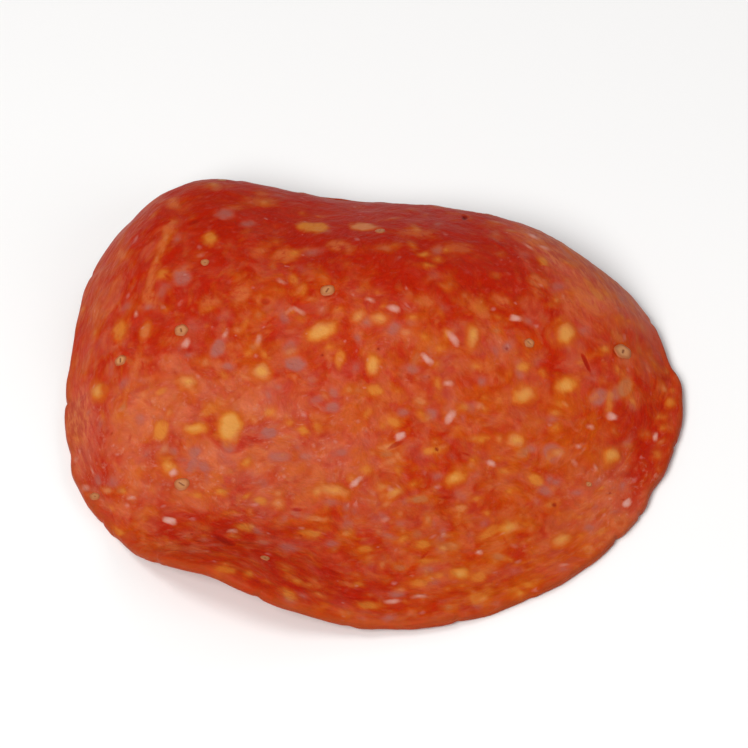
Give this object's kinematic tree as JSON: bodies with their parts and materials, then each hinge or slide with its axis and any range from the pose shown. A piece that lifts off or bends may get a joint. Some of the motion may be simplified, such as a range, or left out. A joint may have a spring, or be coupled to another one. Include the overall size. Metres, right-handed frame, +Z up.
{
  "type": "pepperoni slice",
  "caption": "Thin round slice of large cured sausage, slumped into a low crown with a flat skirt, marbled with fat.",
  "frame": {"origin": "centre of the bounding box, on the surface that the slice lies on", "axes": "+Z up, the flat skirt towards -Y, the turned-down back rim towards +Y"},
  "size_m": [0.0868, 0.0842, 0.016],
  "materials": {
    "cured_meat": "moist, slightly oily cut meat, red-orange with yellow and pale fat"
  },
  "bodies": {
    "root": {"pepperoni_slice": "cured_meat"}
  },
  "joints": []
}
